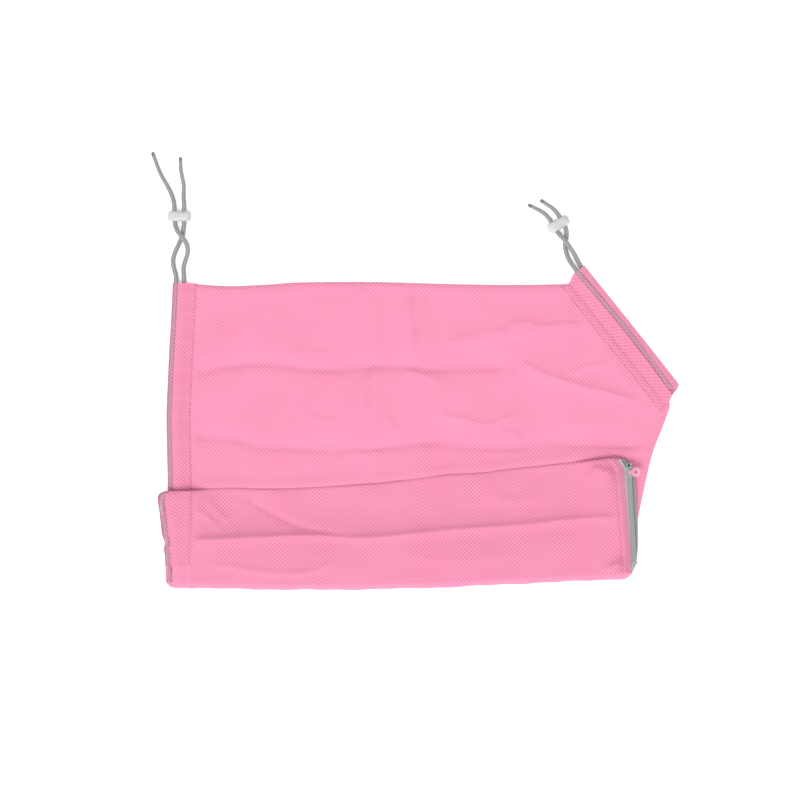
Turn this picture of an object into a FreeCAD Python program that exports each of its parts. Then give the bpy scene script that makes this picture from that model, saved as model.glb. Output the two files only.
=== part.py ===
"""Flat-folded mesh bag with a drawstring mouth at each end and a short zip, in millimetres.

The bag lies on a surface with +Z up.  +X runs from the tail mouth to the slanted neck mouth, and
+Y runs from the belly fold to the top seam.  The belly side of the flattened tube is folded up
over the front, so four layers lie on each other there.  The origin is under the middle of the bag.
"""
import FreeCAD
import Part
import math
import os

V = FreeCAD.Vector
UP = V(0, 0, 1)

# ---------------------------------------------------------------- driving dimensions
cloth = 0.8                 # thickness of one layer of warp-knit mesh
gap = 0.1                   # between pieces that are sewn edge to edge
cord_d = 4.8                # soft braided drawcord
cord_r = cord_d / 2
sleeve_bore = cord_r + 0.1  # inside of the fabric sleeve round a cord
sleeve_r = sleeve_bore + 0.55

# levels of the underside of each layer, from the surface upwards
z_back = 0.0                # outside of the back panel lies on the surface
z_front = 3.6
z_lower = 8.0               # folded-up part of the front panel
z_upper = 12.4              # folded-up part of the back panel
z_flap_sleeves = 8.6        # base of the pair of sleeves at the left of the flap
hinge_z = 8.45              # middle of the whole stack

# left (tail) edge of the bag and of the folded-up flap, top to bottom
tail_top, tail_bottom = V(-237.4, 139.5, 0), V(-243.2, -149.0, 0)
flap_top, flap_bottom = V(-252.0, -66.5, 0), V(-243.2, -149.0, 0)
tail_hem = 23.5             # width of the tail casing, edge to stitch line
bend_start = -133.0         # sleeves stop here, short of the belly fold

# slanted neck mouth
neck_corner = V(158.9, 155.9, 0)
neck_along = V(0.6235, -0.7818, 0)
neck_in = V(-0.7818, -0.6235, 0)
neck_length, neck_hem = 149.3, 30.4
neck_slant = 5.0            # the band's lower end runs this much further at its inner edge

# belly fold, as a straight line under the left and right ends of the flap
fold_left, fold_right = V(-243.2, -149.0, 0), V(203.0, -140.6, 0)
seam_width = 12.0           # seam allowance along the top
chest_width = 9.0           # seam allowance along the chest edge

# zip
zip_top, zip_angle = V(200.9, -35.0, 0), math.radians(3.4)
zip_length = 97.0
tape_z, tape_t, tape_half = 10.8, 0.5, 12.0
coil_half, coil_gap, coil_h = 2.1, 0.9, 1.9    # the gap lets the post pass
hem_gap = 4.3               # the hem's edge stands this far from the middle of the coil
slider_w, slider_l, plate_t = 7.6, 11.0, 0.9
taper, lip = 1.0, 0.6        # of the slider's closed end, and its side lips
slider_s = 8.0              # middle of the closed slider, along the zip from its top
plate_top = tape_z + tape_t + coil_h + 0.4 + plate_t
bar_z = plate_top + 1.6     # centre of the bar that holds the pull
post_l = 3.0                # diamond at the slider's mouth
bar_d, pull_l, pull_w, pull_t = 1.5, 12.4, 9.2, 1.2
pull_droop = math.radians(8)

# cord stoppers
bead_l, bead_h, bead_t, bead_round = 23.0, 10.2, 9.6, 3.6
hole_gap, hole_r = 9.3, cord_r + 0.08
tail_bead, tail_bead_turn = V(-230.25, 203.0, bead_t / 2), 0.0
neck_bead, neck_bead_turn = V(134.05, 195.2, bead_t / 2), 30.0

# curved edges of the flattened bag
top_edge = [(-209.0, 136.6), (-183, 135.8), (-114, 139.2), (-45, 139.6), (24, 137.8), (82, 136.8)]
chest_corner = V(239.9, 25.2, 0)    # beside the open end of the neck band
chest_edge = [(240.2, 18.6), (236.4, 5.0), (230.4, -10), (222.7, -33), (214.1, -73.4), (208.5, -110)]
flap_edge = [(-227, -60.9), (-180, -58.2), (-114, -58.9), (-38, -52.7), (58, -43.7), (176, -29.9)]

parts = {}


# ---------------------------------------------------------------- helpers
def spline(points, z=0.0):
    """Smooth edge through plan points at one height."""
    curve = Part.BSplineCurve()
    curve.interpolate([V(x, y, z) for x, y in points])
    return curve.toShape()


def chain(*pieces):
    """Closed wire from curved edges and corner points, joined in order by straight edges."""
    edges, last, first = [], None, None
    for piece in pieces:
        start = piece if isinstance(piece, V) else piece.Vertexes[0].Point
        end = piece if isinstance(piece, V) else piece.Vertexes[-1].Point
        if last is not None and last.distanceToPoint(start) > 1e-6:
            edges.append(Part.makeLine(last, start))
        if not isinstance(piece, V):
            edges.append(piece)
        first = start if first is None else first
        last = end
    edges.append(Part.makeLine(last, first))
    return Part.Wire(Part.__sortEdges__(edges))


def sheet(wire, z, thickness=cloth):
    """Flat layer of cloth with a plan outline."""
    face = Part.Face(wire)
    return face.extrude(V(0, 0, thickness)).translated(V(0, 0, z))


def ribbon(points, depth, z, height):
    """Strip under a curved edge, reaching depth to the -Y side of it."""
    low = [(x, y - depth) for x, y in reversed(points)]
    return sheet(chain(spline(points), spline(low)), z, height)


def prism(section, origin, along, across, length):
    """Section of (across, height) points, drawn at origin and pulled along."""
    points = [origin + across * a + UP * h for a, h in section]
    return Part.Face(Part.makePolygon(points + points[:1])).extrude(along * length)


def sleeve(section, centre, origin, along, across, length):
    """Strip of hem with the tunnel for the cord beside it."""
    start = origin + across * centre[0] + UP * centre[1]
    outer = Part.makeCylinder(sleeve_r, length, start, along)
    bore = Part.makeCylinder(sleeve_bore, length, start, along)
    return prism(section, origin, along, across, length).fuse(outer).removeSplitter().cut(bore)


def route_edges(points):
    """Straight runs joined by tangent arcs, each as large as its two runs allow."""
    edges, here = [], points[0]
    for before, corner, after in zip(points, points[1:], points[2:]):
        back, ahead = before - corner, after - corner
        turn = math.pi - back.getAngle(ahead)
        reach = 0.45 * min(back.Length, ahead.Length)
        radius = reach / math.tan(turn / 2)
        back.normalize()
        ahead.normalize()
        start, end = corner + back * reach, corner + ahead * reach
        inward = back + ahead
        inward.normalize()
        middle = corner + inward * (math.hypot(radius, reach) - radius)
        edges += [Part.makeLine(here, start), Part.Arc(start, middle, end).toShape()]
        radii.append(radius)
        here = end
    return edges + [Part.makeLine(here, points[-1])]


def tube(points):
    """Round cord along a route, and a check that its volume is section times length."""
    edges = route_edges(points)
    wire = Part.Wire(edges)
    circle = Part.makeCircle(cord_r, points[0], points[1] - points[0])
    solid = wire.makePipeShell([Part.Wire(circle)], True, False)
    expected = math.pi * cord_r ** 2 * wire.Length
    cord_report.append((round(wire.Length, 1), round(solid.Volume / expected, 4)))
    return solid


radii, cord_report = [], []


# ---------------------------------------------------------------- body panels
def fold_point(distance):
    """Plan point just above the belly fold, so far from the left edge."""
    along = fold_right - fold_left
    along.normalize()
    return fold_left + along * distance + V(-along.y, along.x, 0) * gap


def main_outline():
    """Plan of the panel between the tail casing, the neck band and the belly fold."""
    neck_inner_top = neck_corner + neck_in * (neck_hem + gap)
    neck_inner_end = neck_inner_top + neck_along * (neck_length + neck_slant + gap)
    hem_top = tail_top + V(tail_hem + 2 * gap, -2.3, 0)
    return chain(fold_point(tail_hem + 3 * gap), hem_top, spline(top_edge), neck_inner_top,
                 neck_inner_end, chest_corner, spline(chest_edge), fold_point(446.2))


def flap_outline():
    """Plan of the folded-up part, left of the zip."""
    hem_top = flap_top + V(tail_hem + gap, 5.4, 0)
    return chain(fold_point(tail_hem + 3 * gap), hem_top, spline(flap_edge),
                 zip_point(-1.0, -hem_gap - 2.5), zip_point(8.0, -hem_gap),
                 zip_point(zip_length - 3, -hem_gap), fold_point(440.2))


def zip_point(along, across, z=0.0):
    """Plan point given by distances along the zip and to its right."""
    ahead = V(math.sin(zip_angle), -math.cos(zip_angle), 0)
    right = V(math.cos(zip_angle), math.sin(zip_angle), 0)
    return zip_top + ahead * along + right * across + UP * z


def make_panels():
    parts["back_panel"] = sheet(main_outline(), z_back)
    parts["front_panel"] = sheet(main_outline(), z_front)
    parts["belly_flap_inner_layer"] = sheet(flap_outline(), z_lower)
    parts["belly_flap_outer_layer"] = sheet(flap_outline(), z_upper)


def make_seams():
    inside, height = z_back + cloth + 0.1, z_front - z_back - cloth - 0.2
    parts["top_seam_allowance"] = ribbon(top_edge, seam_width, inside, height)
    edge = [(x - 0.4, y) for x, y in chest_edge[1:]]
    inner = [(x - chest_width, y - 1.5) for x, y in reversed(edge)]
    parts["chest_seam_allowance"] = sheet(chain(spline(edge), spline(inner)), inside, height)
    wall = z_upper - z_lower - cloth - 0.2
    parts["belly_edge_fold"] = ribbon(flap_edge, 1.2, z_lower + cloth + 0.1, wall)


def bend(radius, centre_z):
    """Half ring of cloth round the belly fold, clear of the casing and the zip."""
    along = fold_right - fold_left
    length = along.Length - tail_hem - 12
    along.normalize()
    start = fold_left + along * (tail_hem + 1) + UP * centre_z
    ring = Part.makeCylinder(radius, length, start, along)
    ring = ring.cut(Part.makeCylinder(radius - cloth, length, start, along))
    outward = V(along.y, -along.x, 0)
    block = Part.makeBox(length + 10, 2 * radius, 2 * radius)
    turn = math.degrees(math.atan2(along.y, along.x))
    block.rotate(V(), UP, turn)
    block.translate(start - along * 5 + outward * 2 * radius - UP * radius)
    return ring.common(block)


def make_fold():
    outer = (z_upper + cloth - z_back) / 2
    inner = (z_lower + cloth - z_front) / 2
    parts["fold_bend_outer"] = bend(outer, z_back + outer)
    parts["fold_bend_inner"] = bend(inner, z_front + inner)


# ---------------------------------------------------------------- tail casing
cord_edge = (4.0, 3.75)     # cord nearer the edge: offset from the edge, height above the base
cord_inside = (11.4, 3.35)  # cord beside it
edge_section = [(4.0, 6.9), (11.4, 7.9), (16.5, 6.6), (tail_hem, 4.8),
                (tail_hem, 3.6), (16.2, 5.5), (11.4, 6.9), (4.0, 6.1)]
inside_section = [(8.6, 0), (tail_hem, 0), (tail_hem, 1.4), (8.6, 1.4)]


def tail_frame(top, bottom):
    """Start, direction and inward direction of a casing that runs down an edge."""
    along = bottom - top
    along.normalize()
    return top, along, V(-along.y, along.x, 0)


def casing_length(top, along):
    return (bend_start - top.y) / along.y


def lifted(section, z):
    return [(a, h + z) for a, h in section]


def make_tail_casing():
    top, along, across = tail_frame(tail_top, tail_bottom)
    length = casing_length(top, along)
    parts["tail_casing_front"] = sleeve(edge_section, cord_edge, top, along, across, length)
    parts["tail_casing_back"] = sleeve(inside_section, cord_inside, top, along, across, length)
    start, along, across = tail_frame(flap_top, flap_bottom)
    top = start + along * corner_depth
    length = casing_length(top, along)
    z = z_flap_sleeves
    parts["flap_casing_outer"] = sleeve(lifted(edge_section, z), (cord_edge[0], cord_edge[1] + z),
                                        top, along, across, length)
    parts["flap_casing_inner"] = sleeve(lifted(inside_section, z), (cord_inside[0], cord_inside[1] + z),
                                        top, along, across, length)
    parts["flap_casing_corner"] = corner_cover(start, along, across)
    parts["casing_fold_bend"] = casing_bend()


corner_depth = 26.0
skin = 0.6                  # cloth where a sleeve turns a corner


def corner_cover(start, along, across):
    """Shell of cloth round the cord's turn at the top of the flap."""
    low, high = z_flap_sleeves, z_flap_sleeves + 7.6
    outer = [(0.4, low), (tail_hem, low), (tail_hem, high), (0.4, high)]
    inner = [(0.4 + skin, low + skin), (tail_hem, low + skin),
             (tail_hem, high - skin), (0.4 + skin, high - skin)]
    shell = prism(outer, start, along, across, corner_depth - 0.2)
    return shell.cut(prism(inner, start + along * skin, along, across, corner_depth))


def casing_bend():
    """Wide C of cloth that carries the casing round the belly fold."""
    outer = hinge_z - 0.05
    x_left, width = tail_bottom.x + 0.8, tail_hem - 1.0
    centre = V(x_left, fold_left.y + 1.6, hinge_z)
    ring = Part.makeCylinder(outer, width, centre, V(1, 0, 0))
    ring = ring.cut(Part.makeCylinder(outer - skin, width, centre, V(1, 0, 0)))
    half = Part.makeBox(width, outer, 2 * outer, V(x_left, centre.y - outer, hinge_z - outer))
    depth = bend_start - centre.y - 0.8
    strips = [Part.makeBox(width, depth, skin, V(x_left, centre.y, z))
              for z in (hinge_z - outer, hinge_z + outer - skin)]
    return ring.common(half).fuse(strips).removeSplitter()


# ---------------------------------------------------------------- neck band
neck_cord_front = (9.1, 6.35)
neck_cord_back = (3.5, 3.15)
neck_front_section = [(0.2, 6.1), (3.5, 7.3), (9.1, 9.4), (14, 8.5), (22, 6.2), (neck_hem, 4.8),
                      (neck_hem, 3.6), (22, 5.0), (14, 7.3), (9.1, 8.3), (3.5, 6.5), (0.2, 5.3)]
neck_back_section = [(3.5, 0), (neck_hem, 0), (neck_hem, 1.4), (3.5, 1.4)]
neck_end = 11.0             # the band's closed lower end, round the cord's turn


def make_neck_band():
    length = neck_length - neck_end
    frame = (neck_corner, neck_along, neck_in, length)
    parts["neck_band_front"] = sleeve(neck_front_section, neck_cord_front, *frame)
    parts["neck_band_back"] = sleeve(neck_back_section, neck_cord_back, *frame)
    start = neck_corner + neck_along * (length + 0.2)
    outer = [(0.2, 0.0), (neck_hem, 0.0), (neck_hem, 4.8), (14, 9.4), (0.2, 9.4)]
    inner = [(0.2 + skin, skin), (neck_hem, skin), (neck_hem, 4.2),
             (14, 9.4 - skin), (0.2 + skin, 9.4 - skin)]
    cover = prism(outer, start, neck_along, neck_in, neck_end - 0.2)
    cover = cover.cut(prism(inner, start - neck_along, neck_along, neck_in, neck_end + 0.8 - skin))
    parts["neck_band_end"] = cover


# ---------------------------------------------------------------- drawcords
mouth_depth = 0.5           # the free strands start this far inside a mouth


def on(origin, along, across, offset, s):
    return origin + along * s + across * offset[0] + UP * offset[1]


def make_tail_cord():
    """The cord lies down one casing, round the fold, up the flap and back down the other."""
    top, along, across = tail_frame(tail_top, tail_bottom)
    f_top, f_along, f_across = tail_frame(flap_top, flap_bottom)
    end = casing_length(top, along)
    f_end = casing_length(f_top, f_along)
    z = z_flap_sleeves
    for name, offset, depth in (("front", cord_edge, 3.4), ("back", cord_inside, 9.4)):
        start = on(top, along, across, offset, mouth_depth)
        foot = on(top, along, across, offset, end)
        parts[f"tail_cord_{name}_run"] = Part.makeCylinder(cord_r, (foot - start).Length, start, foot - start)
        other = cord_inside if name == "front" else cord_edge
        low = on(f_top, f_along, f_across, (other[0], other[1] + z), f_end)
        turn = [foot, foot + along * (depth + 4.4), low + f_along * (depth + 4.4), low]
        parts[f"tail_cord_{name}_bend"] = tube(turn)
    inner, outer = (cord_inside[0], cord_inside[1] + z), (cord_edge[0], cord_edge[1] + z)
    wide = (inner[0] + 3.2, inner[1])
    route = [(inner, f_end), (inner, 22.5), (wide, 14.5), (wide, 4.0), (outer, 4.0), (outer, f_end)]
    parts["tail_cord_flap_run"] = tube([on(f_top, f_along, f_across, *stop) for stop in route])


def make_neck_cord():
    frame = (neck_corner, neck_along, neck_in)
    far = neck_length - 3.6
    route = [on(*frame, neck_cord_front, mouth_depth), on(*frame, neck_cord_front, far),
             on(*frame, neck_cord_back, far), on(*frame, neck_cord_back, mouth_depth)]
    parts["neck_cord_band_run"] = tube(route)


def free_strands():
    """Free strands: from inside a mouth to the middle of the stopper, and on to the cut end."""
    frame = tail_frame(tail_top, tail_bottom)
    low, mid = cord_r + 0.05, bead_t / 2
    over = low + cord_d + 0.55
    front, front_out = (on(*frame, cord_edge, s) for s in (mouth_depth, -6.5))
    back, back_out = (on(*frame, cord_inside, s) for s in (mouth_depth, -6.5))
    left, right = (tail_bead + V(x, 0, 0) for x in (-hole_gap / 2, hole_gap / 2))
    strands = {
        "tail_cord_loop_left": [front, front_out, V(-236.0, 153.2, low), V(-236.9, 161.4, low),
                                V(-234.4, 169.2, low), V(-231.0, 176.0, low), V(-227.8, 183.4, low),
                                V(right.x, 192.6, mid), right],
        "tail_cord_loop_right": [back, back_out, V(-226.7, 153.2, low), V(-224.6, 160.6, 2.9),
                                 V(-221.9, 167.8, 5.0), V(-222.4, 175.2, 7.1), V(-226.3, 181.6, over),
                                 V(-231.2, 187.2, 7.3), V(left.x, 194.4, mid), left],
        "tail_cord_end_left": [left, V(left.x, 213.2, mid), V(-237.2, 222.6, 3.0), V(-241.9, 232.4, low),
                               V(-248.0, 242.4, low), V(-252.4, 253.2, low), V(-256.6, 265.2, low)],
        "tail_cord_end_right": [right, V(right.x, 213.2, mid), V(-226.6, 223.0, 3.0), V(-226.0, 232.8, low),
                                V(-228.2, 242.4, low), V(-229.6, 251.6, low), V(-229.4, 260.4, low)],
    }
    frame = (neck_corner, neck_along, neck_in)
    front, front_out = (on(*frame, neck_cord_front, s) for s in (mouth_depth, -6.0))
    back, back_out = (on(*frame, neck_cord_back, s) for s in (mouth_depth, -6.0))
    turn = math.radians(neck_bead_turn)
    side, ahead = V(math.cos(turn), math.sin(turn), 0), V(-math.sin(turn), math.cos(turn), 0)
    left, right = (neck_bead + side * x for x in (-hole_gap / 2, hole_gap / 2))
    strands.update({
        "neck_cord_loop_left": [front, front_out, V(143.4, 161.6, 4.0), V(140.7, 169.2, low),
                                V(139.8, 177.2, low), V(142.3, 184.4, 3.1), right - ahead * 7.2, right],
        "neck_cord_loop_right": [back, back_out, V(148.0, 167.2, 4.6), V(143.0, 174.2, over - 0.2),
                                 V(138.6, 180.0, over - 0.2), left - ahead * 8.2, left],
        "neck_cord_end_left": [left, left + ahead * 9.2, V(119.6, 206.6, 3.2), V(112.4, 210.6, low),
                               V(104.6, 214.4, low)],
        "neck_cord_end_right": [right, right + ahead * 8.8, V(129.0, 210.6, 3.4), V(122.6, 214.8, low),
                                V(116.4, 219.0, low)],
    })
    return strands


def make_free_strands():
    for name, points in free_strands().items():
        before = len(radii)
        parts[name] = tube(points)
        print(name, "radii", [round(r, 1) for r in radii[before:]], "length", cord_report[-1])


def bead(centre, turn):
    """Soft bean-shaped stopper with two holes side by side."""
    half = bead_t / 2
    core = bead_l / 2 - half
    y = -bead_h / 2
    corners = [V(-core, y, -half), V(core, y, -half), V(core, y, half), V(-core, y, half)]
    edges = [Part.makeLine(corners[0], corners[1]),
             Part.Arc(corners[1], V(core + half, y, 0), corners[2]).toShape(),
             Part.makeLine(corners[2], corners[3]),
             Part.Arc(corners[3], V(-core - half, y, 0), corners[0]).toShape()]
    body = Part.Face(Part.Wire(edges)).extrude(V(0, bead_h, 0))
    rims = [e for e in body.Edges if e.BoundBox.YLength < 1e-6]
    body = body.makeFillet(bead_round, rims)
    for x in (-hole_gap / 2, hole_gap / 2):
        body = body.cut(Part.makeCylinder(hole_r, bead_h + 4, V(x, y - 2, 0), V(0, 1, 0)))
    body.rotate(V(), UP, turn)
    return body.translated(centre)


# ---------------------------------------------------------------- zip
def zip_place(shape):
    """Moves a shape from the zip's own frame (+X along, +Y to the right, +Z up) into place."""
    ahead, right = zip_point(1, 0) - zip_top, zip_point(0, 1) - zip_top
    matrix = FreeCAD.Matrix(ahead.x, right.x, 0, zip_top.x, ahead.y, right.y, 0, zip_top.y,
                            0, 0, -1, 0, 0, 0, 0, 1)
    flipped = shape.transformGeometry(FreeCAD.Matrix(1, 0, 0, 0, 0, 1, 0, 0, 0, 0, -1, 0, 0, 0, 0, 1))
    return flipped.transformGeometry(matrix)


def make_zip():
    z0, z1 = tape_z, tape_z + tape_t
    first = slider_s + slider_l / 2 - 2.0
    upper = Part.makeBox(zip_length + 6, tape_half - 1.2, tape_t, V(-3, -tape_half, z0))
    section = [V(0, 1.2, z0), V(0, 5.6, z0), V(0, 5.6, z0 - 1.9), V(0, -5, z0 - 1.9), V(0, -5, z0 - 1.4),
               V(0, 5.0, z0 - 1.4), V(0, 5.0, z0 - 0.6)]
    strip = Part.makeBox(zip_length + 2, 4.4, tape_t, V(-1, 1.2, z0))
    side = Part.makeBox(zip_length + 2, tape_t, z0 - z_lower - cloth - 0.3, V(-1, 5.1, z_lower + cloth + 0.3))
    under = Part.makeBox(zip_length + 2, 9.4, 0.45, V(-1, -3.8, z_lower + cloth + 0.1))
    parts["zip_tape_upper"] = zip_place(upper)
    parts["zip_tape_lower"] = zip_place(strip.fuse([side, under]).removeSplitter())
    for name, y in (("upper", -coil_half), ("lower", coil_gap)):
        row = Part.makeBox(zip_length - 4 - first, coil_half - coil_gap, coil_h, V(first, y, z1 + 0.05))
        parts[f"zip_coil_{name}"] = zip_place(row)
    stops = [Part.makeBox(3.0, 1.6, 2.2, V(-1.0, y, z1 + 0.05)) for y in (-2.9, 1.3)]
    parts["zip_top_stops"] = zip_place(Part.makeCompound(stops))
    parts["zip_bottom_stop"] = zip_place(Part.makeBox(3.2, 5.0, 2.2, V(zip_length - 3.6, -2.5, z1 + 0.05)))
    parts["zip_slider"] = zip_place(slider())
    parts["zip_pull"] = zip_place(pull())


def slider():
    """Two plates joined by the post, with side flanges and a bar for the pull."""
    z_low, z_high = tape_z - 0.3 - plate_t, plate_top - plate_t
    s0, half = slider_s - slider_l / 2, slider_w / 2

    def plate(z):
        """Shield-shaped plate, narrower at the closed end of the zip."""
        points = [V(s0, -half, z), V(s0 + 3.5, -half, z), V(s0 + slider_l, -half + taper, z),
                  V(s0 + slider_l, half - taper, z), V(s0 + 3.5, half, z), V(s0, half, z)]
        return Part.Face(Part.makePolygon(points + points[:1])).extrude(V(0, 0, plate_t))

    def flange(sign):
        """Lip at the side of the upper plate, down to just above the tape."""
        wide, narrow = half, half - taper
        points = [V(s0 + 3.5, sign * wide, z_high), V(s0 + slider_l, sign * narrow, z_high),
                  V(s0 + slider_l, sign * (narrow - lip), z_high), V(s0 + 3.5, sign * (wide - lip), z_high)]
        drop = z_high - tape_z - tape_t - 0.25
        return Part.Face(Part.makePolygon(points + points[:1])).extrude(V(0, 0, -drop))

    post = Part.makeBox(post_l, 1.6, z_high - z_low, V(s0 + 0.6, -0.8, z_low))
    reach = 3.3
    feet = [Part.makeCylinder(bar_d / 2, bar_z - z_high, V(slider_s + x, 0, z_high)) for x in (-reach, reach)]
    bar = Part.makeCylinder(bar_d / 2, 2 * reach, V(slider_s - reach, 0, bar_z), V(1, 0, 0))
    knees = [Part.makeSphere(bar_d / 2, V(slider_s + x, 0, bar_z)) for x in (-reach, reach)]
    body = plate(z_low).fuse([plate(z_high), flange(-1), flange(1), post, bar, *feet, *knees])
    return body.removeSplitter()


def pull():
    """Oval tab with an eye rolled round the slider's bar."""
    half, eye_half = pull_w / 2, 2.2
    eye_r = bar_d / 2 + 0.1
    hole_y = pull_l - half - 1.4
    tab = Part.makeBox(2 * eye_half, hole_y, pull_t, V(-eye_half, 0.6, -pull_t / 2))
    tab = tab.fuse([Part.makeCylinder(half, pull_t, V(0, hole_y, -pull_t / 2)),
                    Part.makeCylinder(eye_r + 0.6, 2 * eye_half, V(-eye_half, 0, 0), V(1, 0, 0))])
    tab = tab.removeSplitter().cut(Part.makeCylinder(eye_r, 2 * eye_half, V(-eye_half, 0, 0), V(1, 0, 0)))
    tab = tab.cut(Part.makeCylinder(1.7, pull_t + 2, V(0, hole_y, -pull_t / 2 - 1)))
    tab.rotate(V(), V(1, 0, 0), -math.degrees(pull_droop))
    return tab.translated(V(slider_s, 0, bar_z))


# ---------------------------------------------------------------- build and write
def main():
    make_panels()
    make_seams()
    make_fold()
    make_tail_casing()
    make_neck_band()
    make_tail_cord()
    make_neck_cord()
    make_free_strands()
    parts["tail_cord_stopper"] = bead(tail_bead, tail_bead_turn)
    parts["neck_cord_stopper"] = bead(neck_bead, neck_bead_turn)
    make_zip()
    os.makedirs("parts", exist_ok=True)
    for name, shape in parts.items():
        if not shape.isValid() or shape.Volume <= 0 or not shape.Solids:
            print("BAD", name, shape.isValid(), shape.Volume, len(shape.Solids))
        shape.exportStep(f"parts/{name}.step")
    bag = Part.makeCompound([s for n, s in parts.items() if "_cord_" not in n])
    box = bag.BoundBox
    print("bag box", [round(v, 2) for v in (box.XMin, box.XMax, box.YMin, box.YMax, box.ZMin, box.ZMax)])
    print(len(parts), "nodes; cord lengths and volume ratios", cord_report)


main()
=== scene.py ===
"""Looks of a flat-folded mesh grooming bag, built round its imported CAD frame.

Places and sizes are millimetres in the row frame, and become metres only where a mesh is made.
The bag lies on the floor: back cloth, front cloth, and the belly side folded up over the front.
"""

import math

import bpy
import numpy as np
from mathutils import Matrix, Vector


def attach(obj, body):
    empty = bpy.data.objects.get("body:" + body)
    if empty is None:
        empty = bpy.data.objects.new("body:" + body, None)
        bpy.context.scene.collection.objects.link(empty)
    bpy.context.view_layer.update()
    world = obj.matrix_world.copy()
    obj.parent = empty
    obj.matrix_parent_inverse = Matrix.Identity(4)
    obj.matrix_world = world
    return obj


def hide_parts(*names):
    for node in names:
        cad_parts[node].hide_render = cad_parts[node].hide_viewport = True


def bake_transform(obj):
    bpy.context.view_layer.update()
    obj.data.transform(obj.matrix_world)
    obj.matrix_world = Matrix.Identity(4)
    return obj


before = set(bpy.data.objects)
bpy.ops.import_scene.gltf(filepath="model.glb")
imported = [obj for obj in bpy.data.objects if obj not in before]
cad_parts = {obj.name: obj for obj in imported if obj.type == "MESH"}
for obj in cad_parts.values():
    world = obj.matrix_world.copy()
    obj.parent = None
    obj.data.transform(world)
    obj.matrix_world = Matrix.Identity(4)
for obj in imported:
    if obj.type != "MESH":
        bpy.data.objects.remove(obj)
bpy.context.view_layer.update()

MM = 0.001
TURN = 2 * math.pi
CORD_R = 2.35  # visible radius of the knitted drawcord
HEM = 23.5  # tail casing, from the edge to its stitch line
BEND_Y = -133.0  # the tail casings stop here, short of the belly fold
FLAP_RISE = 8.6  # the flap's casings lie this much above the bag's
FLAP_SEAM = -219.6  # straight stitch line of the flap's casings
CHEST_TOP = 16  # above this the neck band is the bag's border

# heights of the four layers, and radius of the outermost round the belly fold
Z_BACK, Z_FRONT, Z_LOWER, Z_UPPER = 0.6, 4.0, 8.4, 12.8
BEND_R = (Z_UPPER - Z_BACK) / 2


# ---- lines and outlines
def arc_length(line):
    """Distance along a polyline at each of its points."""
    return np.append(0, np.cumsum(np.linalg.norm(np.diff(line, axis=0), axis=1)))


def unit(vectors):
    return vectors / np.linalg.norm(vectors, axis=1)[:, None]


def smooth_line(points, step=2.0, count=None):
    """Smooth line through points, resampled evenly."""
    p = np.array(points, float)
    p = np.vstack([2 * p[0] - p[1], p, 2 * p[-1] - p[-2]])
    t = np.linspace(0, 1, 12, endpoint=False)[:, None]
    spans = []
    for a, b, c, d in zip(p, p[1:], p[2:], p[3:]):
        spans.append(0.5 * (2 * b + (c - a) * t + (2 * a - 5 * b + 4 * c - d) * t ** 2
                            + (3 * b - a - 3 * c + d) * t ** 3))
    line = np.vstack(spans + [p[-2]])
    return resampled(line, step, count)


def resampled(line, step=2.0, count=None):
    """Evenly spaced points along a polyline."""
    reach = arc_length(line)
    count = count or max(2, int(round(reach[-1] / step)) + 1)
    at = np.linspace(0, reach[-1], count)
    return np.stack([np.interp(at, reach, line[:, k]) for k in range(line.shape[1])], axis=1)


def as_function(points, along):
    """Edge through points as a function: x of y, or y of x when along is 0."""
    line = smooth_line(points, 1.0)
    order = np.argsort(line[:, along])
    return lambda t: np.interp(t, line[order, along], line[order, 1 - along])


# Edges in plan. The flap's two layers end at upper_x and lower_x.
tail_x = as_function([
    (-243.2, -149), (-242.6, -100), (-242.2, -56), (-243, -20), (-243.4, 12), (-242.3, 42), (-241, 70),
    (-239, 105), (-237.6, 134), (-237.2, 140.2)], 1)
flap_x = as_function([
    (-243.2, -149), (-243.7, -137), (-244, -125), (-245.2, -116.5), (-244.3, -112), (-245.2, -108),
    (-247, -102), (-248.4, -91), (-249.8, -79), (-251, -72), (-251.2, -66), (-251.2, -60)], 1)
chest_x = as_function([
    (203.4, -152), (205.2, -137), (207.6, -115), (211, -88), (214.2, -72), (220, -45), (226, -22), (235, 1),
    (239.4, 13), (241, 20), (240.4, 26), (233, 34), (212, 48), (188, 76), (164, 107), (147, 131),
    (143.6, 138.2), (139, 146)], 1)
top_y = as_function([
    (-240, 140.4), (-218, 138.2), (-183, 136.1), (-149, 137.3), (-114, 139.6), (-45, 140), (24, 138.2),
    (82, 137.2), (136, 137.8), (150, 138.4)], 0)
fold_y = as_function([
    (-250, -152.6), (-229, -154.2), (-126, -156), (-57, -155.8), (24, -153.8), (82, -151), (151, -147.8),
    (197, -145.6), (215, -144.8)], 0)
flap_y = as_function([
    (-256, -62), (-239, -60.4), (-226, -61), (-200, -59), (-180, -58.2), (-150, -59.2), (-114, -58.2),
    (-47, -54.2), (-18, -51.2), (24, -45.8), (62, -43.4), (84, -40.4), (151, -33.2), (184, -28.9),
    (198, -27.6)], 0)
upper_x = as_function([
    (184, -27), (190.4, -31), (194.6, -36), (196.6, -43), (198, -58), (199.8, -80), (201.9, -105),
    (203.2, -124), (203.6, -139), (203.4, -152)], 1)
lower_x = as_function([
    (184, -27), (194, -29.6), (201.6, -33.2), (205.2, -39), (206.8, -50), (208.6, -68), (209.6, -85),
    (209.8, -108), (209.2, -122), (207.8, -131), (205.2, -138), (202, -144), (201, -152)], 1)


def flap_seam_x(y):
    """Inner border of the flap's casing, which is straight where its outer edge leans out."""
    return FLAP_SEAM + 0 * y


def fold_axis(x):
    """Y of the line round which the cloth bends, under the flap's lower edge."""
    return fold_y(x) + BEND_R


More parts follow.
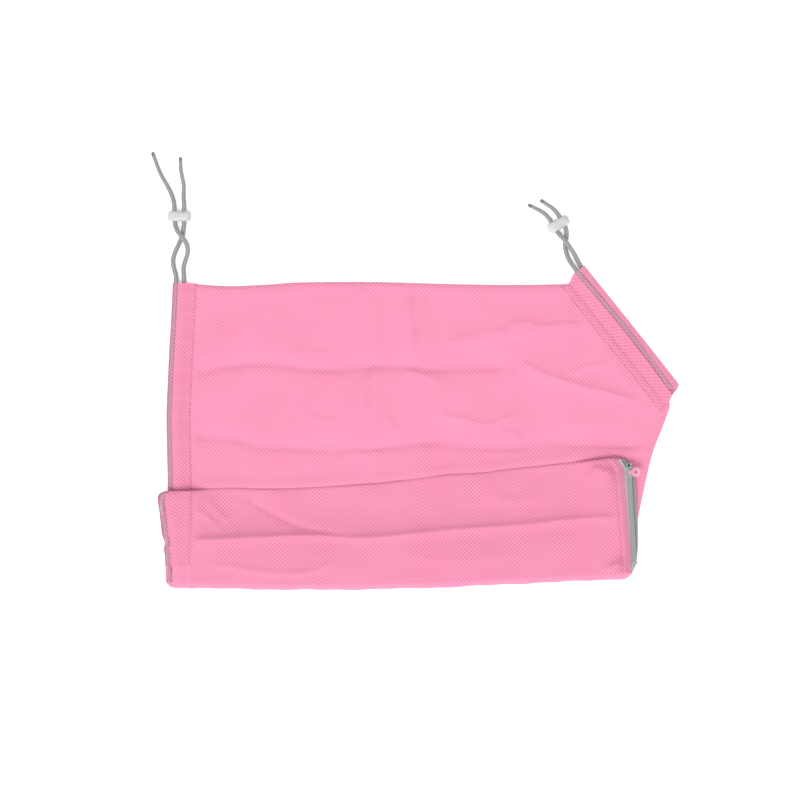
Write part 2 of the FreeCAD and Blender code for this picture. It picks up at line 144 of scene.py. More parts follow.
# neck mouth: its upper corner, and the ways down its slanted edge and in from it
NECK = np.array([158.9, 155.9])
NECK_DOWN = np.array([0.6235, -0.7818])
NECK_IN = np.array([-0.7818, -0.6235])
NECK_LENGTH, NECK_HEM, NECK_SEAM = 149.3, 30.4, 22.8

# zip, from its top end, and its coil of nylon
ZIP_TOP, ZIP_ANGLE = np.array([200.9, -35.0]), math.radians(3.4)
ZIP_DOWN = np.array([math.sin(ZIP_ANGLE), -math.cos(ZIP_ANGLE)])
ZIP_RIGHT = np.array([math.cos(ZIP_ANGLE), math.sin(ZIP_ANGLE)])
COIL_Z, COIL_PITCH, COIL_WIRE = 12.3, 1.25, 0.3
COIL_FIRST, COIL_LAST = 11.5, 94.0


def ease(t):
    """0 below 0, 1 above 1, and smooth between."""
    t = np.clip(t, 0, 1)
    return t * t * (3 - 2 * t)


def hump(distance, width):
    """1 at no distance, falling away on both sides."""
    return np.exp(-(distance / width) ** 2)


def pucker(along, pitch, away, reach):
    """Small waves that a seam pulls into cloth, lower away from it."""
    return np.sin(TURN * along / pitch) * np.exp(-np.abs(away) / reach)


# ---- creases
# Each is a line, its height, and how fast it falls away on its left and on its right.
FRONT_CREASES = [
    ([(-222, 47), (-186, 60), (-140, 62), (-107, 57), (-77, 56.4), (-55, 60), (-15, 59), (13, 57), (52, 59),
      (89, 58)], -1.5, 8, 6),
    ([(-136, 70), (-106, 72.5), (-76, 70)], 0.6, 7, 6),
    ([(88.3, 64), (89, 40), (87.6, 12)], 0.5, 6, 6),
    ([(-18, 58), (0, 51), (27, 43)], 0.6, 9, 5),
    ([(-234, -7), (-174, -10.5), (-150, -17.6), (-47, -19.7), (-18, -16.4), (20, -13.4), (33, -16.6),
      (94, -19), (117, -14.4), (163, -15.8), (218, -18)], -1.5, 7, 7),
    ([(-8.4, 137), (-9.6, 110), (-7, 84), (-7, 60)], 1.2, 9, 4),
    ([(-40, 136), (-40.6, 60), (-39.6, 0), (-41, -60)], 0.45, 5, 5),
    ([(6.7, 10), (6, -20), (7, -52)], 0.5, 6, 5),
    ([(-171, 59), (-180, 42), (-189, 22)], 0.8, 6, 9),
    ([(-38, 57), (-53, 39), (-49, 6)], 0.8, 7, 6),
    ([(-33, 12), (-22, -8)], 0.6, 5, 5),
    ([(-188, 100), (-197, 74), (-222, 57)], 0.6, 9, 6),
    ([(20, 79), (62, 87), (100, 93), (160, 99.6)], 1.9, 9, 8),
    ([(84, 97), (98, 99.4), (112, 98)], 0.8, 6, 5),
    ([(92, 67), (117, 51.6), (138, 44.6), (165, 37), (216, 24)], 1.2, 7, 7),
    ([(141, 49), (161, 58), (184, 61.4)], 0.7, 7, 5),
    ([(10, 13.6), (36, 9), (64, 2.6), (84, 8.4), (103, 18.6)], 0.9, 7, 6),
    ([(77, 0), (100, -12)], 0.7, 5, 6),
    ([(-216, 118), (-214, 60), (-216, 10), (-215, -50)], 0.35, 3, 5),
    ([(150, 110), (172, 86), (197, 50), (214, 30)], 0.5, 8, 6),
    ([(-120, 20), (-96, 8), (-70, 5)], 0.4, 8, 8),
    ([(130, 10), (160, 2), (196, 8)], 0.5, 9, 8),
]
FLAP_CREASES = [
    ([(-226, -109), (-174, -107.4), (-98, -103.4), (-56, -106.4), (1, -101.4), (33, -98.2), (100, -93.6),
      (142, -88.8), (194, -85.4)], 1.8, 7, 3.5),
    ([(-226, -108), (-200, -106.4), (-150, -104), (-112, -104), (-70, -106)], 0.9, 20, 4),
    ([(-204, -66), (-196, -78), (-180, -92)], 0.8, 6, 9),
    ([(-172, -62), (-144, -81), (-110, -96.5), (-77, -103.4), (-56, -106)], -1.1, 6, 22),
    ([(-206, -130), (-178, -134), (-140, -139.4), (-102, -138), (-77, -124)], 0.9, 14, 8),
    ([(-222, -78), (-205, -84), (-188, -101)], 0.8, 8, 8),
    ([(60, -64), (92, -70), (128, -66)], 0.5, 9, 9),
    ([(166, -35), (176, -42), (187, -41)], 1.8, 5, 7),
    ([(176, -143), (186, -133), (197, -128)], 1.8, 6, 8),
    ([(-20, -122), (40, -128), (96, -120)], 0.35, 12, 10),
]


FOLD_GAIN, LINE_GAIN, LINE_WIDTH = 1.7, 0.9, 3.0  # a crease is a wide fold and a sharper line on it
FADE, FADE_SHARE = 22.0, 0.3  # its ends fade over this length or share of it


def creased(x, y, creases):
    """Height of the creases at plan points: sharp ridges and valleys that fade at their ends."""
    flat = np.stack([x.ravel(), y.ravel()], axis=1)
    total = np.zeros(len(flat))
    for points, height, left, right in creases:
        line = smooth_line(points, count=40)
        a, ab = line[:-1], np.diff(line, axis=0)
        away = flat[:, None] - a[None]
        length2 = (ab ** 2).sum(1)
        t = np.clip((away * ab).sum(2) / length2, 0, 1)
        gap = away - ab * t[..., None]
        dist = np.hypot(gap[..., 0], gap[..., 1])
        near = dist.argmin(1)
        rows = np.arange(len(flat))
        d = dist[rows, near]
        cross = ab[near, 0] * away[rows, near, 1] - ab[near, 1] * away[rows, near, 0]
        place = (near + t[rows, near]) / len(ab)
        reach = math.sqrt(length2.sum() * len(ab))
        ends = ease(np.minimum(place, 1 - place) * reach / min(FADE, FADE_SHARE * reach))
        width = np.where(cross > 0, left, right)
        fold = np.exp(-(np.sqrt(d * d + 0.6) - 0.77) / width)
        total += height * ends * (FOLD_GAIN * fold + LINE_GAIN * hump(d, LINE_WIDTH))
    return total.reshape(x.shape)


def rippled(x, y, seed, height=0.28):
    """Low uneven waves of limp cloth, the same on each run."""
    rng = np.random.default_rng(seed)
    total = np.zeros_like(x)
    for _ in range(14):
        angle, wave = rng.uniform(0, math.pi), rng.uniform(22, 90)
        phase = rng.uniform(0, TURN)
        ahead = x * math.cos(angle) + y * math.sin(angle)
        total += np.sin(TURN * ahead / wave + phase) * wave / 90
    return total * height / 2


# ---- meshes
def add_object(name, data):
    thing = bpy.data.objects.new(name, data)
    bpy.context.scene.collection.objects.link(thing)
    return thing


def mesh_object(name, points, faces, weave=None):
    """Object from points in millimetres, each with the cloth's own coordinates."""
    data = bpy.data.meshes.new(name)
    data.from_pydata((np.asarray(points, float) * MM).tolist(), [], [tuple(f) for f in faces])
    data.validate()
    data.shade_smooth()
    if weave is not None:
        layer = data.attributes.new("weave", "FLOAT_VECTOR", "POINT")
        layer.data.foreach_set("vector", np.asarray(weave, np.float32).ravel())
    return add_object(name, data)


def grid_faces(rows, columns, wrap=False, start=0):
    """Quads of a grid of points, listed row by row, closed round each row if wrap is set."""
    r, c = np.meshgrid(np.arange(rows - 1), np.arange(columns if wrap else columns - 1), indexing="ij")
    after = (c + 1) % columns
    here, below = r * columns, (r + 1) * columns
    quads = np.stack([here + c, here + after, below + after, below + c], axis=2)
    return (quads.reshape(-1, 4) + start).tolist()


def grid_object(name, xyz, weave=None, flip=False):
    rows, columns = xyz.shape[:2]
    faces = grid_faces(rows, columns)
    if flip:
        faces = [f[::-1] for f in faces]
    if weave is None:
        weave = np.dstack([xyz[..., 0], xyz[..., 1], 0 * xyz[..., 0]])
    return mesh_object(name, xyz.reshape(-1, 3), faces, weave.reshape(-1, 3))


def plan_grid(left, right, low, high, v, columns=176):
    """Plan grid between two side edges, x of y, and two end edges, y of x."""
    u = np.linspace(0, 1, columns)[None]
    x = -220 + 420 * u * np.ones((len(v), 1))
    for _ in range(30):
        y = low(x) + (high(x) - low(x)) * v[:, None]
        x = left(y) + (right(y) - left(y)) * u
    return x, y


def eased_rows(count, share, fine):
    """Row places from 0 to 1, with fine rows in the last share, near a rolled edge."""
    last = 1 - share * (1 - np.sin(np.linspace(0, math.pi / 2, fine + 1)[1:]))
    return np.concatenate([np.linspace(0, 1 - share, count), last])


def frames_along(line):
    """Tangent and two unit normals at each point of a line, without twist."""
    tangent = unit(np.gradient(line, axis=0))
    first = np.cross(tangent[0], (0, 0, 1.0))
    if np.linalg.norm(first) < 1e-6:
        first = np.array([1.0, 0, 0])
    normals = [first / np.linalg.norm(first)]
    for t in tangent[1:]:
        n = normals[-1] - t * (normals[-1] @ t)
        normals.append(n / np.linalg.norm(n))
    normals = np.array(normals)
    return tangent, normals, np.cross(tangent, normals)


# ---- materials
class Nodes:
    """Short way to wire a material's nodes."""

    def __init__(self, name):
        self.material = bpy.data.materials.new(name)
        self.material.use_nodes = True
        self.tree = self.material.node_tree
        self.shader = self.tree.nodes["Principled BSDF"]

    def add(self, kind, links=(), **values):
        node = self.tree.nodes.new(kind)
        for key, value in values.items():
            setattr(node, key, value)
        for socket, value in dict(links).items():
            self.put(node.inputs[socket], value)
        return node

    def put(self, socket, value):
        if isinstance(value, bpy.types.NodeSocket):
            self.tree.links.new(value, socket)
        else:
            socket.default_value = value

    def math(self, operation, a, b=0.0, c=0.0):
        return self.add("ShaderNodeMath", {0: a, 1: b, 2: c}, operation=operation).outputs[0]

    def wave(self, kind, along, pitch):
        return self.math(kind, self.math("MULTIPLY", along, TURN / pitch))

    def ramp(self, value, low, high):
        """0 at low, 1 at high, eased."""
        node = self.add("ShaderNodeMapRange", {"Value": value, "From Min": low, "From Max": high},
                        interpolation_type="SMOOTHSTEP")
        return node.outputs["Result"]

    def mix(self, factor, a, b):
        node = self.add("ShaderNodeMix", {"Factor": factor}, data_type="RGBA")
        self.put(node.inputs[6], a)
        self.put(node.inputs[7], b)
        return node.outputs[2]

    def noise(self, scale, detail):
        place = self.add("ShaderNodeTexCoord").outputs["Object"]
        links = {"Vector": place, "Scale": scale, "Detail": detail}
        return self.add("ShaderNodeTexNoise", links).outputs["Fac"]

    def attribute(self, name, output):
        return self.add("ShaderNodeAttribute", attribute_name=name).outputs[output]

    def weave(self):
        """A cloth's coordinates across and along it, and a third for its material to use."""
        return self.add("ShaderNodeSeparateXYZ", {0: self.attribute("weave", "Vector")}).outputs

    def bump(self, height, distance, strength):
        node = self.add("ShaderNodeBump", {"Height": height, "Distance": distance, "Strength": strength})
        self.put(self.shader.inputs["Normal"], node.outputs["Normal"])

    def finish(self, **sockets):
        for name, value in sockets.items():
            self.put(self.shader.inputs[name.replace("_", " ").title().replace("Ior", "IOR")], value)
        return self.material


def rgba(r, g, b):
    return (r, g, b, 1.0)


def grey(light):
    return rgba(light, light, light)


def speckled(name, cloud, dark, light, grain, **sockets):
    """Stuff of uneven colour. cloud is a noise's scale and detail, and its ramp's ends if it has one;
    grain is the scale and detail of the noise that roughens it, and the bump's distance and strength."""
    n = Nodes(name)
    factor = n.noise(*cloud[:2])
    if len(cloud) > 2:
        factor = n.ramp(factor, *cloud[2:])
    n.bump(n.noise(*grain[:2]), *grain[2:])
    return n.finish(base_color=n.mix(factor, dark, light), **sockets)


def net_material():
    """Warp-knit net: staggered rows of holes, wider where it is stretched over a cord, with painted shade
    on the yarn round each hole.
    """
    n = Nodes("pink_net")
    across, along, open_share = n.weave()
    net = n.math("MULTIPLY", n.wave("COSINE", across, NET_ACROSS), n.wave("COSINE", along, NET_ALONG))
    start = n.math("MULTIPLY_ADD", open_share, -0.42, 0.40)
    hole = n.ramp(net, start, n.math("ADD", start, 0.22))
    patches = n.ramp(n.noise(16.0, 3.0), 0.36, 0.66)
    rim = n.ramp(net, -0.4, start)
    # painted shade: the yarn is drawn in the deeper pink towards each hole
    painted_rim_shade = n.mix(n.math("MULTIPLY", rim, 0.52), PINK, PINK_SHADE_AND_MOTTLE)
    # random darker patches of the same deeper pink
    colour = n.mix(n.math("MULTIPLY", patches, 0.12), painted_rim_shade, PINK_SHADE_AND_MOTTLE)
    height = n.math("MULTIPLY_ADD", n.wave("SINE", along, YARN), 0.12, n.math("MULTIPLY", net, -1.0))
    n.bump(height, 0.00022, 0.6)
    looseness = n.math("MULTIPLY_ADD", n.noise(22.0, 2.0), 0.18, 0.04)
    stretch = n.math("MULTIPLY", open_share, open_share)
    clear = n.math("MULTIPLY_ADD", stretch, 0.12, looseness)
    yarn_cover = n.math("MULTIPLY_ADD", stretch, -0.52, 1.0)
    alpha = n.math("SUBTRACT", yarn_cover, n.math("MULTIPLY", hole, clear))
    return n.finish(base_color=colour, roughness=0.72, alpha=alpha, sheen_weight=0.2, sheen_roughness=0.5)


def cord_material(name, light):
    """Knitted cord with painted shade between its wales, and darkest at its sealed ends."""
    n = Nodes(name)
    groove = n.attribute("groove", "Fac")
    sealed = n.attribute("sealed", "Fac")
    yarn = n.ramp(n.noise(900.0, 3.0), 0.3, 0.75)
    # painted shade: the grooves between the wales are drawn darker
    knit = n.mix(groove, rgba(light, light, light * 1.02), rgba(light * 0.45, light * 0.45, light * 0.46))
    fuzzy = n.mix(n.math("MULTIPLY", yarn, 0.3), knit, rgba(0.19, 0.19, 0.193))
    colour = n.mix(sealed, fuzzy, rgba(0.14, 0.14, 0.142))
    n.bump(n.noise(1400.0, 2.0), 0.0002, 0.5)
    return n.finish(base_color=colour, roughness=0.82, sheen_weight=0.2)


def thread_material():
    n = Nodes("sewing_thread")
    fibre = n.ramp(n.noise(1500.0, 2.0), 0.3, 0.7)
    colour = n.mix(fibre, rgba(0.42, 0.08, 0.17), rgba(0.54, 0.13, 0.25))
    n.bump(fibre, 0.0001, 0.4)
    return n.finish(base_color=colour, roughness=0.6)


def tape_material(side, light, dark):
    """Woven zip tape with fine ribs, and a painted dark line of shade in the groove beside the coil."""
    n = Nodes(f"zip_tape_weave_{side}")
    light, dark = grey(light), grey(dark)
    across, along, groove = n.weave()
    cloth = n.math("MULTIPLY_ADD", n.wave("SINE", along, TAPE_PICK), 0.5, n.wave("SINE", across, TAPE_RIB))
    colour = n.mix(n.ramp(cloth, -1.4, 1.4), dark, light)
    colour = n.mix(n.math("MULTIPLY", n.noise(120.0, 2.0), 0.3), colour, dark)
    # painted shade: a dark line along the groove beside the coil
    colour = n.mix(n.math("MULTIPLY", groove, 0.75), colour, grey(0.05))
    n.bump(cloth, 0.00008, 0.6)
    return n.finish(base_color=colour, roughness=0.78)


def coil_material():
    return speckled("zip_coil_nylon", (400.0, 2.0), rgba(0.35, 0.36, 0.355), rgba(0.45, 0.46, 0.455),
                    (2500.0, 1.0, 0.00005, 0.3), roughness=0.38)


def stopper_material():
    """Soft moulded plastic, a little cloudy."""
    return speckled("stopper_moulding", (90.0, 3.0, 0.35, 0.7), rgba(0.44, 0.44, 0.443),
                    grey(0.52), (700.0, 3.0, 0.0001, 0.25), roughness=0.42,
                    subsurface_weight=0.15, subsurface_scale=0.004)


def slider_material():
    """Painted die casting, worn in uneven patches."""
    return speckled("slider_paint", (600.0, 4.0, 0.55, 0.75), rgba(0.25, 0.29, 0.27),
                    rgba(0.36, 0.39, 0.375), (900.0, 3.0, 0.00006, 0.3), roughness=0.34, metallic=0.35)


def pull_material():
    """Clear pink plastic."""
    return speckled("pull_moulding", (150.0, 2.0), rgba(0.88, 0.45, 0.60), rgba(0.93, 0.53, 0.67),
                    (500.0, 2.0, 0.00008, 0.2), roughness=0.22, transmission_weight=0.5, ior=1.3)


def floor_material():
    n = Nodes("studio_floor")
    grain = n.noise(3.0, 2.0)
    colour = n.mix(grain, grey(0.93), grey(0.95))
    return n.finish(base_color=colour, roughness=0.9, specular_ior_level=0.1, emission_color=rgba(1, 1, 1),
                    emission_strength=0.32)


# the second pink is the net's painted shade round its holes, and also its random darker patches
PINK, PINK_SHADE_AND_MOTTLE = rgba(0.698, 0.237, 0.374), rgba(0.668, 0.151, 0.283)
NET_ACROSS, NET_ALONG, YARN = 4.0, 3.75, 0.6  # repeat of the net's staggered holes, and of its yarns
TAPE_RIB, TAPE_PICK = 0.7, 0.5  # repeat of the zip tape's weave
NET = net_material()
CORD, THREAD = cord_material("knitted_cord", 0.29), thread_material()
HELD_CORD = cord_material("knitted_cord_in_casing", 0.42)  # lighter, because its casing shades it
# painted light: the upper tape is drawn lighter, to make up for the shade of the net over it; the lower
# tape is drawn darker
TAPE_UPPER, TAPE_LOWER = tape_material("upper", 0.46, 0.34), tape_material("lower", 0.30, 0.20)
COIL, STOPPER, SLIDER, PULL = coil_material(), stopper_material(), slider_material(), pull_material()


def dress(thing, material, body=None, replaces=()):
    """Gives a piece its material, body and the CAD nodes that it stands for."""
    thing.data.materials.clear()
    thing.data.materials.append(material)
    if body:
        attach(thing, body)
    if replaces:
        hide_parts(*replaces)
    return thing


def dress_net(thing, body=None, replaces=()):
    return dress(thing, NET, body, replaces)


# ---- main cloth
def seam_fall(distance, edge, inside, reach):
    """Height that rolls from edge, at a seam, to inside."""
    t = np.clip(distance / reach, 0, 1)
    return edge + (inside - edge) * np.sqrt(1 - (1 - t) ** 2)


def neck_offset(x, y):
    """Distance of a plan point inside the slanted neck edge."""
    return (x - NECK[0]) * NECK_IN[0] + (y - NECK[1]) * NECK_IN[1]


def main_grid():
    """Plan grid of the main cloth, and each point's distances inside its top and chest seams."""
    x, y = plan_grid(lambda y: tail_x(y) + HEM, chest_x, fold_axis, top_y, eased_rows(150, 0.03, 6), 190)
    return x, y, top_y(x) - y, np.where(y < CHEST_TOP, (chest_x(y) - x) * 0.93, 99.0)


def make_front_cloth():
    x, y, from_top, from_chest = main_grid()
    inside = np.minimum(from_top, from_chest)
    z = seam_fall(inside, 0.95, Z_FRONT, 5.0)
    allowance = np.where(from_top < from_chest, 11.5, 9.0)
    z += 0.5 * (1 - ease((inside - allowance + 0.8) / 1.6)) * ease(inside / 4)
    border = np.minimum.reduce([x - tail_x(y) - HEM, inside, neck_offset(x, y) - NECK_HEM + 1])
    free = ease(border / 14)
    under_flap = ease((flap_y(x) + 6 - y) / 14)
    z += creased(x, y, FRONT_CREASES) * free * (1 - 0.9 * under_flap)
    z += rippled(x, y, 3, 0.42) * free * (1 - 0.8 * under_flap)
    z += 1.7 * hump(y - flap_y(x) - 3, 6.5) * free  # swells in front of the flap's edge
    z += 0.35 * pucker(y, 8.5, x - tail_x(y) - HEM, 4)
    z += 0.3 * pucker(x, 9.5, from_top - 11, 3)
    z = np.clip(z, np.where(inside < 6, 0.95, 1.4), 6.9)
    piece = dress_net(grid_object("front_cloth", np.dstack([x, y, z])), "bag", ["front_panel"])


def make_back_cloth():
    x, y, *from_seams = main_grid()
    inside = np.minimum(*from_seams)
    z = seam_fall(inside, 0.7, Z_BACK, 5.0)
    z += np.clip(rippled(x, y, 11, 0.16), -0.1, 0.4) * ease(inside / 10)
    piece = grid_object("back_cloth", np.dstack([x, y, np.clip(z, 0.3, 2.4)]), flip=True)
    dress_net(piece, "bag", ["back_panel"])


UPPER_SAG, LOWER_SAG = 5.5, 2.8  # of the flap's layers, between its stiff hem, zip and fold
EDGE_Z, EDGE_SAG, EDGE_R = 9.7, 4.1, 3.6  # of the flap's top edge, where the two layers meet in a roll


def flap_sag(x, y):
    """Share of the flap's sag, between its stiff hem, the zip and the belly fold."""
    return ease((y + 124) / 50) * ease((x + 226) / 34) * ease((178 - x) / 36)


def flap_height(z, x, y):
    """Heights z of a layer of the flap, rolled down to the flap's top edge."""
    edge = EDGE_Z - EDGE_SAG * flap_sag(x, y)
    return edge + (z - edge) * seam_fall(flap_y(x) - y, 0, 1, EDGE_R)


def make_flap_cloth():
    rows = eased_rows(58, 0.05, 8)
    x, y = plan_grid(flap_seam_x, upper_x, fold_axis, flap_y, rows, 250)
    to_zip = upper_x(y) - x
    border = np.minimum.reduce([x - flap_seam_x(y), flap_y(x) - y, to_zip])
    from_fold = y - fold_axis(x)
    free = ease(border / 10) * ease(from_fold / 7)
    z = Z_UPPER - UPPER_SAG * flap_sag(x, y)
    z += (creased(x, y, FLAP_CREASES) + rippled(x, y, 5, 0.4)) * free
    z -= 1.2 * (1 - ease(to_zip / 9)) * ease(from_fold / 20)
    z += 0.3 * pucker(y, 8.0, to_zip - 8, 3) * free
    z = flap_height(z, x, y)
    z -= hump(to_zip - 8.4, 1.7) * free  # groove of the zip's stitches
    # corners: two patches by the zip's ends where the net's holes are drawn wider, which makes these
    # patches darker
    corners = hump(to_zip - 12, 7) * hump(y + 46, 18) + hump(to_zip - 10, 11) * hump(y + 134, 11)
    stretch = 0.31 + 0.38 * (1 - ease((to_zip - 3) / 5)) + 0.24 * corners
    piece = grid_object("flap_outer_cloth", np.dstack([x, y, z]), np.dstack([x, y, stretch]))
    dress_net(piece, "belly_flap", ["belly_flap_outer_layer", "belly_edge_fold"])

    x, y = plan_grid(flap_seam_x, lower_x, fold_axis, flap_y, rows)
    to_zip = lower_x(y) - x
    from_fold = y - fold_axis(x)
    free = ease(np.minimum(flap_y(x) - y, to_zip) / 10) * ease(from_fold / 7)
    z = Z_LOWER - LOWER_SAG * flap_sag(x, y) + np.clip(rippled(x, y, 8, 0.2), -0.3, 0.5) * free
    z += 0.9 * (1 - ease(to_zip / 5)) * ease(from_fold / 16)
    piece = grid_object("flap_inner_cloth", np.dstack([x, y, flap_height(z, x, y)]), flip=True)
    dress_net(piece, "belly_flap", ["belly_flap_inner_layer"])


def make_fold_bends():
    """Cloth that rolls round the belly fold from the bag to the flap, with a margin beyond it."""
    margin = 3.0
    for name, low, high, right, node in (
            ("fold_outer_cloth", Z_BACK, Z_UPPER, upper_x, "fold_bend_outer"),
            ("fold_inner_cloth", Z_FRONT, Z_LOWER, lower_x, "fold_bend_inner")):
        x = np.linspace(float(tail_x(-149)) + HEM, float(right(-140)), 176)[None]
        turn = np.linspace(-math.pi / 2, math.pi / 2, 17)
        radius = (high - low) / 2
        flat = np.array([-1.0, -0.5])
        height = np.concatenate([flat * 0 - 1, np.sin(turn), flat * 0 + 1])[:, None]
        out = np.concatenate([flat * 0, np.cos(turn), flat * 0])[:, None]
        back = np.concatenate([-flat, 0 * turn, -flat[::-1]])[:, None] * margin
        run = np.concatenate([flat * margin, radius * (turn + math.pi / 2),
                              radius * math.pi - flat[::-1] * margin])[:, None]
        corner = np.sqrt(1 - (1 - np.clip((x.max() - x) / 8, 0, 1)) ** 2 * 0.96)
        waver = 1 + 0.05 * np.sin(x / 13) + 0.04 * np.sin(x / 5.1 + 1)
        y = fold_axis(x) - radius * out * corner * waver + back
        z = (low + high) / 2 + (radius - 0.12 * (back > 0)) * height * np.ones_like(x)
        piece = grid_object(name, np.dstack([x + 0 * y, y, z]), np.dstack([x + 0 * y, run + 0 * y, 0 * y]))
        dress_net(piece, replaces=[node])
        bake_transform(piece)


def strip_between(name, outer, inner, heights):
    """Narrow strip of cloth between two lines in plan."""
    t = np.linspace(0, 1, len(heights))[:, None, None]
    plan = outer[None] * (1 - t) + inner[None] * t
    z = np.array(heights)[:, None] * np.ones(len(outer))[None]
    return grid_object(name, np.dstack([plan[..., 0], plan[..., 1], z]))


def make_seam_allowances():
    x = np.linspace(-212, 134, 150)
    outer = np.stack([x, top_y(x) - 0.6], axis=1)
    inner = np.stack([x, top_y(x) - 11.6], axis=1)
    for level, name in ((0.0, "top_seam_allowance_upper"), (-0.6, "top_seam_allowance_lower")):
        heights = np.array([1.0, 2.7, 3.3, 3.3, 3.2]) + level * np.array([0.3, 1, 1, 1, 1])
        dress_net(strip_between(name, outer, inner, heights), "bag", ["top_seam_allowance"])
    y = np.linspace(14, -126, 70)
    outer = np.stack([chest_x(y) - 0.6, y], axis=1)
    inner = np.stack([chest_x(y) - 9.2, y - 1.5], axis=1)
    piece = strip_between("chest_seam_cloth", outer, inner, [1.0, 2.7, 3.2, 3.2, 3.1])
    dress_net(piece, "bag", ["chest_seam_allowance"])


# ---- casings
# Skins of a casing, as (distance inside the edge, height): over the cord, round the edge, and back.
EDGE_SKIN = [
    (23.5, 4.35), (19.5, 4.9), (15.6, 5.9), (11.4, 6.9), (7.6, 6.75), (4.6, 6.55), (2.2, 5.9), (0.7, 4.6),
    (0.4, 3.2), (1.3, 1.7), (4.0, 0.95), (6.6, 1.9), (8.1, 4.3), (11.4, 6.25), (15.6, 5.1), (19.5, 4.2),
    (23.5, 3.9)]
INSIDE_SKIN = [
    (23.5, 1.5), (18.5, 1.9), (15.6, 3.6), (13.4, 5.4), (11.4, 5.98), (9.5, 5.4), (8.6, 4.0), (8.6, 2.0),
    (10.0, 0.7), (13.5, 0.4), (18.5, 0.4), (23.5, 0.45)]
NECK_FRONT_SKIN = [
    (30.4, 4.25), (26.5, 4.8), (22.8, 4.55), (19.5, 5.2), (15.5, 6.9), (12.3, 8.6), (9.0, 9.3), (6.0, 8.8),
    (3.4, 7.5), (1.3, 5.7), (0.1, 3.9), (0.3, 2.2), (1.6, 1.0)]
NECK_BACK_SKIN = [
    (30.4, 1.3), (22.8, 1.4), (14, 1.7), (9.6, 2.3), (7.6, 3.3), (6.54, 4.66), (4.6, 5.65), (2.8, 5.1),
    (1.6, 3.7), (1.0, 2.5), (0.9, 1.2), (2.8, 0.45), (9, 0.4), (22.8, 0.4), (30.4, 0.45)]
NO_CORD = (90, 91)  # beyond the end of any skin
STRETCH_EASE = 1.6  # over which the net opens at either side of a cord
EDGE_STEP = 2.2  # between the sections of a casing
SHUT_IN = 5.5  # how far a casing's edge draws in where it is rolled shut
SKIN_RIPPLE = 0.12


def skin_line(section):
    return smooth_line(section, count=46)


def casing_grid(edge, section, over_cord, slack, lift=0.0, inward=1.0, shut_start=0.0, shut_end=0.0,
                slant=None, seam=None, drift=0.0):
    """Sweeps a casing's skin along an edge, rolled shut over its first or last few millimetres.

    The net is stretched open between the two places along the skin in over_cord, and as much as slack
    says before them. drift moves both places towards the edge, halfway along it."""
    order = np.arange(len(edge))
    raw = np.gradient(edge, axis=0).T
    tangent = unit(np.stack([np.polyval(np.polyfit(order, part, 3), order) for part in raw], axis=1))
    side = np.stack([-tangent[:, 1], tangent[:, 0]], axis=1) * inward
    skin = skin_line(section)
    s = arc_length(edge)
    shut = np.ones(len(s))
    for distance, reach in ((s, shut_start), (s[-1] - s, shut_end)):
        if reach:
            shut = shut * np.sqrt(1 - (1 - np.clip(distance / reach, 0, 1)) ** 2)
    middle = (skin[:, 1].max() + skin[:, 1].min()) / 2
    z = middle + (skin[None, :, 1] - middle) * shut[:, None]
    offset = skin[None, :, 0] + (1 - shut[:, None]) * SHUT_IN * (1 - skin[None, :, 0] / skin[:, 0].max())
    for wave, phase in ((9.0, 1.0), (14.0, 3.0), (23.0, 5.0)):
        z = z + SKIN_RIPPLE * np.sin(TURN * s / wave + phase)[:, None] * (skin[:, 1] > middle)
    share = np.clip(offset / skin[:, 0].max(), 0, 1)[..., None]
    start_line = edge[:, None] if seam is None else edge[:, None] * (1 - share) + seam[:, None] * share
    plan = start_line + side[:, None] * offset[..., None]
    if slant:
        start, end = slant
        t = (s / s[-1])[:, None]
        shift = start(skin[:, 0])[None] * (1 - t) + end(skin[:, 0])[None] * t
        plan = plan + tangent[:, None] * shift[..., None]
    low, high = over_cord
    arc = arc_length(skin)[None] - drift * np.sin(math.pi * s / s[-1])[:, None]
    stretch = ease((arc - low) / STRETCH_EASE) * ease((high - arc) / STRETCH_EASE)
    stretch = np.maximum(stretch, slack * (arc < high))
    weave = np.dstack([arc, s[:, None] + 0 * z, stretch])
    return np.dstack([plan[..., 0], plan[..., 1], z + lift]), weave


def edge_line(function, high, low):
    y = np.linspace(high, low, int(abs(high - low) / EDGE_STEP) + 1)
    return np.stack([function(y), y], axis=1)


def make_tail_casings():
    tail = edge_line(tail_x, 139.6, BEND_Y)
    flap = edge_line(flap_x, -60.6, BEND_Y)
    flap_seam = edge_line(lambda y: flap_seam_x(y) - HEM + 1.2, -60.6, BEND_Y)
    bag, belly = {}, {"seam": flap_seam, "lift": FLAP_RISE, "shut_start": 7.0}
    for name, edge, skin, over_cord, body, nodes, how, wider in (
            ("tail_hem_front", tail, EDGE_SKIN, (16.8, 23.8), "bag", ["tail_casing_front"], bag, 0),
            ("tail_hem_back", tail, INSIDE_SKIN, NO_CORD, "bag", ["tail_casing_back"], bag, 0),
            ("flap_hem_outer", flap, EDGE_SKIN, (17.4, 24.6), "belly_flap",
             ["flap_casing_outer", "flap_casing_corner"], belly, 8.0),
            ("flap_hem_inner", flap, INSIDE_SKIN, NO_CORD, "belly_flap",
             ["flap_casing_inner"], belly, 5.0)):
        xyz, weave = casing_grid(edge, skin, over_cord, 0.3, **how)
        piece = dress_net(grid_object(name, xyz, weave, flip=True), body, nodes)


